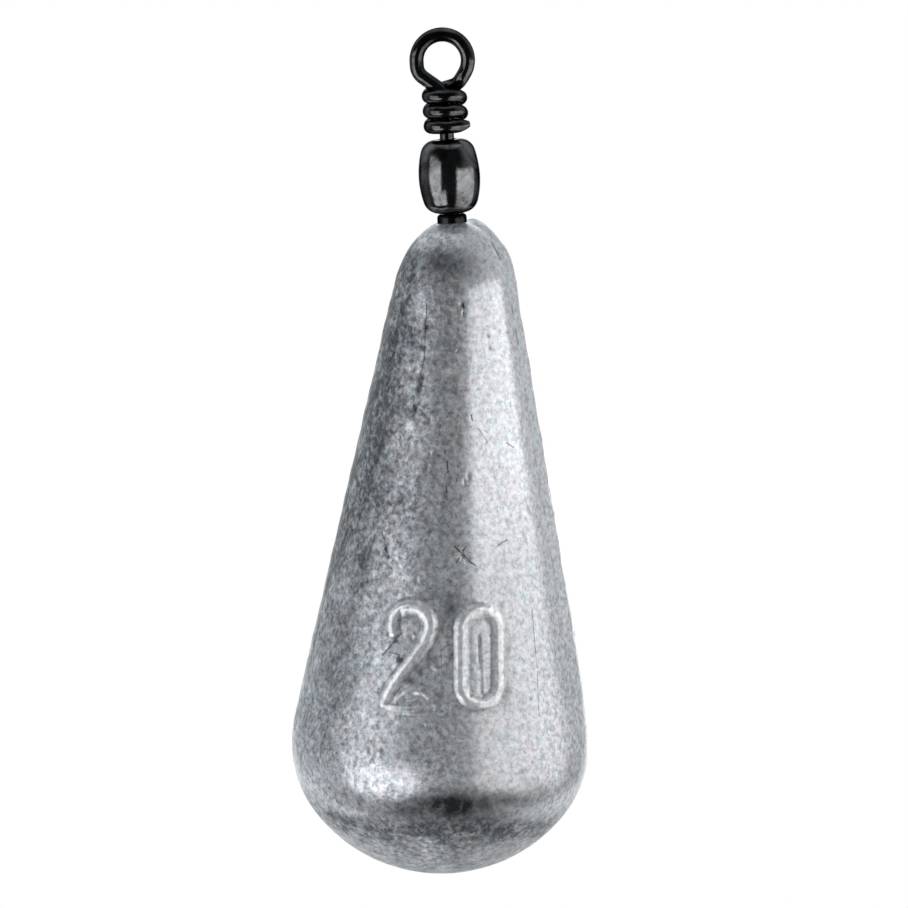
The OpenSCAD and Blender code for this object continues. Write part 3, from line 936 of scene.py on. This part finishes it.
def node(tree, kind, place=(0, 0), **values):
    """Adds a node and sets its properties, or feeds its sockets where the name is one."""
    made = tree.nodes.new(kind)
    made.location = place
    for key, value in values.items():
        if key in made.inputs:
            feed(tree, made.inputs[key], value)
        else:
            setattr(made, key, value)
    return made


def sums(tree, place, operation, a, b, c=0.0, clamp=False):
    """A Math node on sockets or numbers."""
    made = node(tree, "ShaderNodeMath", place, operation=operation, use_clamp=clamp)
    for socket, value in zip(made.inputs, (a, b, c)):
        feed(tree, socket, value)
    return made.outputs[0]


def vectors(tree, place, operation, a, b):
    """A Vector Math node on sockets or vectors; the second value of SCALE is its factor."""
    made = node(tree, "ShaderNodeVectorMath", place, operation=operation)
    feed(tree, made.inputs[0], a)
    feed(tree, made.inputs["Scale" if operation == "SCALE" else 1], b)
    return made.outputs["Value" if operation in {"DOT_PRODUCT", "DISTANCE"} else "Vector"]


def blend(tree, place, factor, a, b):
    """Mixes two colours, each a socket or a plain colour, by a socket or a number."""
    made = node(tree, "ShaderNodeMix", place, data_type="RGBA")
    for index, value in ((0, factor), (6, a), (7, b)):
        feed(tree, made.inputs[index], value)
    return made.outputs[2]


def remap(tree, place, value, low, high, to_low=0.0, to_high=1.0, kind="SMOOTHSTEP"):
    """A Map Range node on sockets or numbers."""
    made = node(tree, "ShaderNodeMapRange", place, interpolation_type=kind, Value=value)
    for label, number in (("From Min", low), ("From Max", high), ("To Min", to_low), ("To Max", to_high)):
        feed(tree, made.inputs[label], number)
    return made.outputs["Result"]


def attribute(tree, place, name, gain=1.0):
    """A painted mask of the mesh, times a gain."""
    made = node(tree, "ShaderNodeAttribute", place, attribute_name=name)
    return sums(tree, (place[0] + 180, place[1]), "MULTIPLY", made.outputs["Fac"], gain)


def relief(tree, shader, place, height, strength, distance):
    """Bumps a shader's surface by a height."""
    bump = node(tree, "ShaderNodeBump", place, Height=height, Strength=strength, Distance=distance)
    feed(tree, shader.inputs["Normal"], bump.outputs["Normal"])


def node_group(name, vector_inputs, inputs, outputs):
    """A new shader node group with its sockets, and its input and output nodes."""
    tree = bpy.data.node_groups.new(name, "ShaderNodeTree")
    for label in vector_inputs:
        tree.interface.new_socket(name=label, in_out="INPUT", socket_type="NodeSocketVector")
    for label, default in inputs.items():
        socket = tree.interface.new_socket(name=label, in_out="INPUT", socket_type="NodeSocketFloat")
        socket.default_value = default
    for label in outputs:
        tree.interface.new_socket(name=label, in_out="OUTPUT", socket_type="NodeSocketFloat")
    source, out = node(tree, "NodeGroupInput", (-1200, 0)), node(tree, "NodeGroupOutput", (800, 0))
    return tree, source.outputs, out.inputs


def mottle_group():
    """Fractal mottling in the part's own coordinates: a mask, and the raw noise for relief."""
    defaults = {"Scale": 900.0, "Rise": 1.0, "Balance": 0.5, "Spread": 0.2, "Warp": 0.6}
    tree, given, out = node_group("Mottling", (), defaults, ("Mask", "Noise"))
    coords = node(tree, "ShaderNodeTexCoord", (-900, -200))
    size = node(tree, "ShaderNodeCombineXYZ", (-900, -400), X=1.0, Y=1.0, Z=given["Rise"])
    drawn = node(
        tree, "ShaderNodeMapping", (-700, -200), Vector=coords.outputs["Object"], Scale=size.outputs[0])
    noise = node(
        tree, "ShaderNodeTexNoise", (-450, 0), Vector=drawn.outputs[0], Scale=given["Scale"], Detail=7.0,
        Roughness=0.72, Distortion=given["Warp"])
    low = sums(tree, (-250, -250), "SUBTRACT", given["Balance"], given["Spread"])
    high = sums(tree, (-250, -420), "ADD", given["Balance"], given["Spread"])
    feed(tree, out["Mask"], remap(tree, (100, 0), noise.outputs["Fac"], low, high, kind="LINEAR"))
    feed(tree, out["Noise"], noise.outputs["Fac"])
    return tree


# Share of a mark's half width that is fully dark
MARK_CORE = 0.35


def mark_group():
    """A mark along a straight line between two points of the part: a ragged mask of a given half width."""
    defaults = {"Half width": 0.06 * MM, "Rough edge": 0.1 * MM}
    tree, given, out = node_group("Mark", ("From", "To"), defaults, ("Mask",))
    coords = node(tree, "ShaderNodeTexCoord", (-1200, -300))
    place = coords.outputs["Object"]
    noise = node(tree, "ShaderNodeTexNoise", (-1000, -300), Vector=place, Scale=4000.0, Detail=3.0)
    along = vectors(tree, (-1000, 100), "SUBTRACT", given["To"], given["From"])
    offset = vectors(tree, (-1000, -100), "SUBTRACT", place, given["From"])
    reach = vectors(tree, (-800, 100), "DOT_PRODUCT", along, along)
    shadow = vectors(tree, (-800, -100), "DOT_PRODUCT", offset, along)
    share = sums(tree, (-600, 0), "DIVIDE", shadow, reach, clamp=True)
    nearest = vectors(tree, (-400, 100), "SCALE", along, share)
    away = vectors(tree, (-200, 0), "DISTANCE", offset, nearest)
    ragged = sums(tree, (-600, -300), "SUBTRACT", noise.outputs["Fac"], 0.5)
    ragged = sums(tree, (-400, -300), "MULTIPLY", ragged, given["Rough edge"])
    away = sums(tree, (0, 0), "ADD", away, ragged)
    core = sums(tree, (0, -200), "MULTIPLY", given["Half width"], MARK_CORE)
    feed(tree, out["Mask"], remap(tree, (300, 0), away, core, given["Half width"], 1.0, 0.0))
    return tree


def grouped(tree, place, name, build, values):
    """Places a node group with its values, and builds the group the first time."""
    made = node(tree, "ShaderNodeGroup", place)
    made.node_tree = bpy.data.node_groups.get(name) or build()
    for key, value in values.items():
        made.inputs[key].default_value = value
    return made.outputs


def mottling(tree, place, **values):
    return grouped(tree, place, "Mottling", mottle_group, values)


# ---------------------------------------------------------------- materials

# Masks of the cast lead, each with a gain and an offset: the oxide, smudges and painted shade in its blotches,
# the grain's contrast and ground where the skin is grainy, the fine grain's and the specks' strength where it
# is weathered or under painted shade; then the middle of the fine grain, the oxide that is everywhere, and the
# tints of clean lead
BLOTCHES, GRAIN_CONTRAST, GRAIN_GROUND = (0.85, 0.45), (1.3, 0.75), (-0.67, 0.55)
FINE_STRENGTH, SPECK_STRENGTH = (1.1, 0.08), (0.6, 0.5)
FINE_MIDDLE, LEAST_OXIDE = 0.45, 0.07
MAUVE, TEAL = (1.035, 0.983, 1.005), (0.955, 1.012, 1.01)

# How dark grime is in the pits and the seams, how dark the painted shade is in the crease at the number's
# foot, and how dark the smudges and painted shade are
GRIME_AND_SHADE = (("pits", 0.85), ("crease", 0.25), ("seam_groove", 0.9))
SMUDGE_AND_SHADE_GAIN = 1.15

# Gloss: roughness of clean lead and of full oxide, how metallic it is, and its bump
LEAD_ROUGHNESS, FULL_OXIDE, LEAD_METALLIC = (0.17, 0.42), 0.8, 0.35
BLOTCH_RELIEF, BUMP_STRENGTH, LEAD_BUMP, PLATING_BUMP = 0.8, 0.22, 0.06 * MM, 0.03 * MM

# Plating: tints of its brown and blue places and dark spots, each with its share of the shine; where the
# spots start and are full, the share of the plating's own colour, the range of its roughness, and the tint of
# its grazing reflections
BROWN, BLUE, DARK = (0.5, (1.08, 0.99, 0.95)), (1.6, (0.95, 1.0, 1.04)), (0.35, (1.0, 1.0, 1.05))
DARK_SPOTS, PLATING_SHARE, PLATING_ROUGHNESS = (0.56, 0.66), 0.04, (0.8, 1.6)
PLATING_EDGE = (0.2, 0.2, 0.22)
WHITE = (1.0, 1.0, 1.0)


def new_material(name):
    material = bpy.data.materials.new(name)
    material.use_nodes = True
    return material, material.node_tree, material.node_tree.nodes["Principled BSDF"]


def rgba(colour, gain=WHITE):
    """A colour with its alpha, each channel times a gain."""
    return (*(c * g for c, g in zip(colour, gain)), 1.0)


def lead_material(marks):
    """Cast lead: clean metal, oxide in blotches and grain, grime in pits, marks and seams, smudges, painted
    shade and highlights.
    """
    colours = bpy.context.scene.sinker_colours
    material, tree, shader = new_material("cast lead")
    blotches = mottling(tree, (-1500, 500), Scale=600.0, Rise=0.8, Balance=0.5, Spread=0.2, Warp=0.25)
    grain = mottling(tree, (-1500, 250), Scale=3000.0, Rise=0.95, Balance=0.46, Spread=0.16, Warp=0.2)
    fine = mottling(tree, (-1500, 125), Scale=2200.0, Rise=0.95, Balance=0.5, Spread=0.22, Warp=0.2)
    specks = mottling(tree, (-1500, 0), Scale=4300.0, Rise=0.7, Balance=0.625, Spread=0.025, Warp=0.3)
    tint = mottling(tree, (-1500, -200), Scale=1100.0, Rise=1.0, Balance=0.5, Spread=0.1, Warp=0.5)

    # Oxide, and the painted shade under the belly, both drawn in the oxide colours
    weather_and_shade = attribute(tree, (-1500, 800), "weather_and_shade")
    grainy = attribute(tree, (-1500, 1300), "grainy")
    patchy = sums(tree, (-1200, 600), "MULTIPLY_ADD", blotches["Mask"], *BLOTCHES)
    weathered_and_shaded = sums(tree, (-1000, 700), "MULTIPLY", weather_and_shade, patchy)
    contrast = sums(tree, (-1350, 450), "MULTIPLY_ADD", grainy, *GRAIN_CONTRAST)
    ground = sums(tree, (-1350, 350), "MULTIPLY_ADD", grainy, *GRAIN_GROUND)
    grained = sums(tree, (-1200, 350), "MULTIPLY_ADD", grain["Mask"], contrast, ground)
    strength = sums(tree, (-1200, 900), "MULTIPLY_ADD", weather_and_shade, *FINE_STRENGTH)
    uneven = sums(tree, (-1000, 900), "SUBTRACT", FINE_MIDDLE, fine["Mask"])
    uneven = sums(tree, (-900, 900), "MULTIPLY", uneven, strength)
    oxide_and_shade = sums(tree, (-850, 700), "ADD", weathered_and_shaded, uneven)
    oxide_and_shade = sums(tree, (-800, 600), "ADD", oxide_and_shade, LEAST_OXIDE, clamp=True)
    # The oxide colours, which also paint the shade under the belly
    dull = blend(tree, (-700, 200), tint["Mask"], rgba(colours.oxide_and_shade), rgba(colours.oxide_warm_and_shade))
    clean = blend(tree, (-700, 400), tint["Mask"], rgba(colours.lead, TEAL), rgba(colours.lead, MAUVE))
    base = blend(tree, (-500, 400), oxide_and_shade, clean, dull)
    # Polished crests, and painted highlights, in the polished colour
    polish_and_highlights = attribute(tree, (-1500, 1100), "polish_and_highlights")
    base = blend(tree, (-450, 600), polish_and_highlights, base, rgba(colours.polished_and_highlights))
    base = vectors(tree, (-400, 500), "SCALE", base, grained)

    speckled = sums(tree, (-1100, 0), "MULTIPLY_ADD", weather_and_shade, *SPECK_STRENGTH)
    dark = sums(tree, (-900, 0), "MULTIPLY", specks["Mask"], speckled)
    # Grime in the pits and seams, and painted shade in the crease at the number's foot
    for index, (name, gain) in enumerate(GRIME_AND_SHADE):
        mask = attribute(tree, (-1500, -400 - 200 * index), name, gain)
        dark = sums(tree, (-900 + 150 * index, -200), "MAXIMUM", dark, mask, clamp=True)
    # Smudges and painted shade, drawn in the grime colour
    smear_and_shade = attribute(tree, (-1500, -1000), "smudge_and_shade", SMUDGE_AND_SHADE_GAIN)
    smear_and_shade = sums(tree, (-1100, -1000), "MULTIPLY", smear_and_shade, patchy)
    dark = sums(tree, (-300, -200), "MAXIMUM", dark, smear_and_shade, clamp=True)
    marked = None
    for index, (start, end, half, strength) in enumerate(marks):
        y = -1200 - 180 * index
        drawn = {"From": start, "To": end, "Half width": half * MM}
        mask = grouped(tree, (-1500, y), "Mark", mark_group, drawn)["Mask"]
        mark = sums(tree, (-1300, y), "MULTIPLY", mask, strength)
        marked = mark if marked is None else sums(tree, (-1100, y), "MAXIMUM", marked, mark)
    dark = sums(tree, (-200, -400), "MAXIMUM", dark, marked, clamp=True)
    # Grime, smudges and painted shade darken the colour here
    base = blend(tree, (-100, 300), dark, base, rgba(colours.grime_and_shade))

    feed(tree, shader.inputs["Base Color"], base)
    rough = remap(tree, (-500, 0), oxide_and_shade, 0.0, FULL_OXIDE, *LEAD_ROUGHNESS)
    feed(tree, shader.inputs["Roughness"], rough)
    shader.inputs["Metallic"].default_value = LEAD_METALLIC
    height = sums(tree, (-500, -500), "MULTIPLY_ADD", blotches["Noise"], BLOTCH_RELIEF, grain["Noise"])
    height = sums(tree, (-350, -500), "SUBTRACT", height, marked)
    relief(tree, shader, (-200, -500), height, BUMP_STRENGTH, LEAD_BUMP)
    return material


def plating_material(name, roughness, shine):
    """Gloss black plating: a dark mirror, worn a little brown in places and bluish in others."""
    colours = bpy.context.scene.sinker_colours
    material, tree, shader = new_material(name)
    wear = mottling(tree, (-900, 300), Scale=550.0, Balance=0.5, Spread=0.12, Warp=0.4)
    haze = mottling(tree, (-900, 0), Scale=2300.0, Balance=0.5, Spread=0.16, Warp=0.2)
    brown, blue, dark = (rgba([share * shine] * 3, tint) for share, tint in (BROWN, BLUE, DARK))
    base = blend(tree, (-500, 300), wear["Mask"], brown, blue)
    spots = remap(tree, (-700, 100), haze["Noise"], *DARK_SPOTS)
    base = blend(tree, (-300, 200), spots, base, dark)
    base = blend(tree, (-100, 200), PLATING_SHARE, base, rgba(colours.plating))
    feed(tree, shader.inputs["Base Color"], base)
    low, high = (roughness * share for share in PLATING_ROUGHNESS)
    feed(tree, shader.inputs["Roughness"], remap(tree, (-300, 0), haze["Mask"], 0.0, 1.0, low, high))
    shader.inputs["Metallic"].default_value = 1.0
    shader.inputs["Specular Tint"].default_value = rgba(PLATING_EDGE)
    relief(tree, shader, (-300, -300), haze["Noise"], BUMP_STRENGTH, PLATING_BUMP)
    return material


# ---------------------------------------------------------------- stage

COOL, WARM = (0.99, 1.0, 1.02), (1.02, 1.0, 0.985)

# Softboxes: name, degrees from the camera's side, distance, width, lower and upper end in mm, the light whose
# radiance each takes, its share of that, and its colour
SOFTBOXES = [
    ("left_softbox", -56, 120, 104, -65, 22, "left_light", 1.0, COOL),
    ("left_low_softbox", -46, 120, 140, -135, -65, "left_light", 1.4, COOL),
    ("right_softbox", 65.5, 40, 64, -24, -1, "right_light", 1.25, WARM),
    ("right_low_softbox", 65.5, 40, 64, -68, -24, "right_light", 0.8, WARM),
    ("back_softbox", 175, 300, 200, -110, 170, "back_light", 1.0, WHITE),
]

# The room's light, each part a direction, the dot products with it where the part starts and is full, and its
# radiance: the pale side behind the object, soft patches overhead, and the white that mirrors show behind it
PALE_SIDE = ((-0.45, 0.87, 0.2), (0.15, 0.75), 0.45)
SKY_PATCHES = [
    ((0.61, 0.5, 0.62), (0.5, 0.95), 0.3),
    ((-0.4, 0.6, 0.7), (0.5, 0.95), 0.3),
    ((0.0, -0.12, 1.0), (0.8, 0.98), 0.5),
    ((0.925, 0.163, 0.342), (0.6, 0.95), 0.2),
]
MIRRORED_WHITE = (0.8, 0.97)
ROOM_TINT = (0.96, 1.0, 1.03)

FLOOR_R, FLOOR_BACK, FLOOR_DROP = 140 * MM, 115 * MM, 70 * MM
FLOOR_GREY, FLOOR_ROUGHNESS, FLOOR_GLOW = (0.82, 0.82, 0.82), 0.9, 0.3
CLIP_NEAR, CLIP_FAR = 0.01, 10.0


def softbox(name, azimuth, distance, width, low, high, radiance, colour):
    """A tall area lamp that faces the object, between two heights, at an angle from the camera's side."""
    a = math.radians(azimuth)
    place = Vector((LEAD_X + distance * math.sin(a), -distance * math.cos(a), (low + high) / 2))
    bpy.ops.object.light_add(type="AREA", location=place)
    lamp = bpy.context.object
    lamp.name = name
    aim = Vector((LEAD_X, 0, place.z)) - place
    lamp.rotation_mode = "QUATERNION"
    lamp.rotation_quaternion = aim.to_track_quat("-Z", "Y")
    light = lamp.data
    light.color = colour
    light.shape = "RECTANGLE"
    light.size, light.size_y = width, high - low
    light.energy = radiance * math.pi * light.size * light.size_y
    lamp.visible_camera = False


def studio_world(studio):
    """Pale room behind the object, dim room behind the camera, and plain white where the camera looks."""
    world = bpy.data.worlds.new("studio")
    bpy.context.scene.world = world
    world.use_nodes = True
    tree = world.node_tree
    coords = node(tree, "ShaderNodeTexCoord", (-900, 0))

    def towards(y, direction, edges, dim, full):
        """Radiance that rises towards a direction."""
        direction = Vector(direction).normalized()
        facing = vectors(tree, (-700, y), "DOT_PRODUCT", coords.outputs["Generated"], direction)
        return remap(tree, (-500, y), facing, *edges, dim, full)

    direction, edges, full = PALE_SIDE
    level = towards(0, direction, edges, studio.room, full)
    for index, (direction, edges, full) in enumerate(SKY_PATCHES):
        y = 200 + 200 * index
        level = sums(tree, (-300, y), "ADD", level, towards(y, direction, edges, 0.0, full))
    rays = node(tree, "ShaderNodeLightPath", (-700, -300)).outputs
    behind = towards(-500, camera_axes(studio)[2], MIRRORED_WHITE, 0.0, 1.0)
    shown = sums(tree, (-300, -500), "MULTIPLY", rays["Is Glossy Ray"], behind)
    seen = sums(tree, (-500, -300), "MAXIMUM", rays["Is Camera Ray"], rays["Is Transmission Ray"])
    seen = sums(tree, (-300, -300), "MAXIMUM", seen, shown)
    strength = node(tree, "ShaderNodeMix", (-100, 0), data_type="FLOAT", Factor=seen, A=level, B=1.0)
    background = tree.nodes["Background"]
    feed(tree, background.inputs["Strength"], strength.outputs["Result"])
    feed(tree, background.inputs["Color"], blend(tree, (-100, 200), seen, rgba(ROOM_TINT), rgba(WHITE)))


def floor_material():
    """Plain pale floor that shows as the white background, with the object's shadow kept."""
    material, tree, shader = new_material("pale floor")
    shader.inputs["Base Color"].default_value = rgba(FLOOR_GREY)
    shader.inputs["Roughness"].default_value = FLOOR_ROUGHNESS
    shader.inputs["Emission Color"].default_value = rgba(WHITE)
    rays = node(tree, "ShaderNodeLightPath", (-500, -300)).outputs
    seen = sums(tree, (-400, -300), "MAXIMUM", rays["Is Camera Ray"], rays["Is Glossy Ray"])
    glow = sums(tree, (-200, -300), "MULTIPLY", seen, FLOOR_GLOW)
    feed(tree, shader.inputs["Emission Strength"], glow)
    return material


class SINKER_OT_studio(bpy.types.Operator):
    """Sets the camera at the photograph's angle, the floor, the softboxes and the room"""

    bl_idname = "sinker.studio"
    bl_label = "Studio"

    def execute(self, context):
        studio = context.scene.sinker_studio
        right, up, forward = camera_axes(studio)
        bpy.ops.object.camera_add(location=camera_place(studio))
        camera = context.object
        camera.name = "photo_camera"
        camera.rotation_mode = "QUATERNION"
        camera.rotation_quaternion = Matrix((right, up, -forward)).transposed().to_quaternion()
        camera.data.lens = studio.lens
        camera.data.sensor_width = SENSOR
        camera.data.clip_start, camera.data.clip_end = CLIP_NEAR, CLIP_FAR
        context.scene.camera = camera

        bpy.ops.mesh.primitive_circle_add(
            vertices=96, radius=FLOOR_R, fill_type="NGON", location=(0, FLOOR_BACK, LEAD_LOW.z - FLOOR_DROP))
        floor = context.object
        floor.name = "floor"
        floor.data.materials.append(floor_material())

        for name, azimuth, *lengths, light, share, colour in SOFTBOXES:
            lengths = [length * MM for length in lengths]
            softbox(name, azimuth, *lengths, share * getattr(studio, light), colour)
        studio_world(studio)
        context.scene.view_settings.view_transform = "Standard"
        return {"FINISHED"}


# ---------------------------------------------------------------- add-on

OPERATORS = (
    SINKER_OT_studio,
    SINKER_OT_lead_body,
    SINKER_OT_cast_in_eye,
    SINKER_OT_swivel_barrel,
    SINKER_OT_line_eye,
)


class SINKER_PT_panel(bpy.types.Panel):
    """The sinker's settings and the operators that make it"""

    bl_label = "Fishing sinker"
    bl_idname = "SINKER_PT_panel"
    bl_space_type = "VIEW_3D"
    bl_region_type = "UI"
    bl_category = "Sinker"

    def draw(self, context):
        layout = self.layout
        for operator in OPERATORS:
            layout.operator(operator.bl_idname)
        for name in SETTINGS:
            settings, box = getattr(context.scene, name), layout.box()
            for key in settings.bl_rna.properties.keys():
                if key not in {"rna_type", "name"}:
                    box.prop(settings, key)


SETTINGS = {"sinker_sizes": SinkerSizes, "sinker_colours": SinkerColours, "sinker_studio": SinkerStudio}
CLASSES = (*SETTINGS.values(), *OPERATORS, SINKER_PT_panel)


def register():
    for cls in CLASSES:
        bpy.utils.register_class(cls)
    for name, cls in SETTINGS.items():
        setattr(bpy.types.Scene, name, bpy.props.PointerProperty(type=cls))


def unregister():
    for name in SETTINGS:
        delattr(bpy.types.Scene, name)
    for cls in reversed(CLASSES):
        bpy.utils.unregister_class(cls)


def main():
    register()
    bpy.ops.sinker.studio()
    bpy.ops.sinker.lead_body()
    bpy.ops.sinker.cast_in_eye()
    bpy.ops.sinker.swivel_barrel()
    bpy.ops.sinker.line_eye()


if __name__ == "__main__":
    main()
